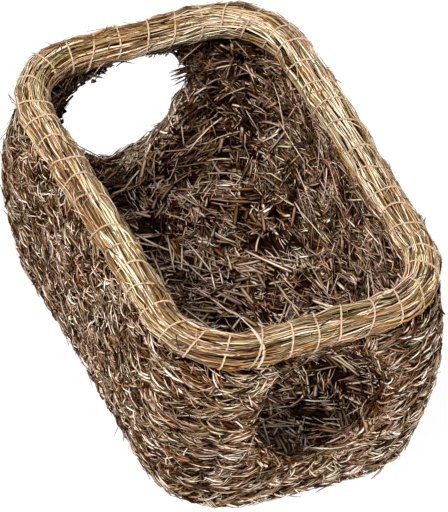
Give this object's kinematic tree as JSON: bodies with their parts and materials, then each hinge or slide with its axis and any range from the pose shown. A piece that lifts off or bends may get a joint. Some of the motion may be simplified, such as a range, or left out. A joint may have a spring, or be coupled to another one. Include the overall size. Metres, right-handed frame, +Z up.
{
  "type": "hay feeder",
  "caption": "Rounded rectangular tub sewn from a thick grass plait, open on top, with a bound straw rim and a round opening in each end, for feeding hay to small pets.",
  "frame": {"origin": "middle of the flat underside of the floor, which stands on Z = 0", "axes": "+X along the length towards the near end of the picture, +Y across the width, +Z up"},
  "size_m": [0.3484, 0.2328, 0.174],
  "materials": {
    "plait": "matt, fibrous dry grass",
    "straw": "satin, straight pale straw",
    "cord": "matt",
    "twine": "matt"
  },
  "bodies": {
    "root": {"floor_plait": "plait", "floor_seam_cords": "cord", "course_1": "plait", "course_2": "plait", "left_course_3": "plait", "left_course_4": "plait", "left_course_5": "plait", "left_course_6": "plait", "left_course_7": "plait", "right_course_3": "plait", "right_course_4": "plait", "right_course_5": "plait", "right_course_6": "plait", "right_course_7": "plait", "seam_cord_1": "cord", "seam_cord_2": "cord", "left_seam_cord_3": "cord", "left_seam_cord_4": "cord", "left_seam_cord_5": "cord", "left_seam_cord_6": "cord", "right_seam_cord_3": "cord", "right_seam_cord_4": "cord", "right_seam_cord_5": "cord", "right_seam_cord_6": "cord", "rim_bundle": "straw", "near_rim_binding": "twine", "far_rim_binding": "twine"}
  },
  "joints": []
}
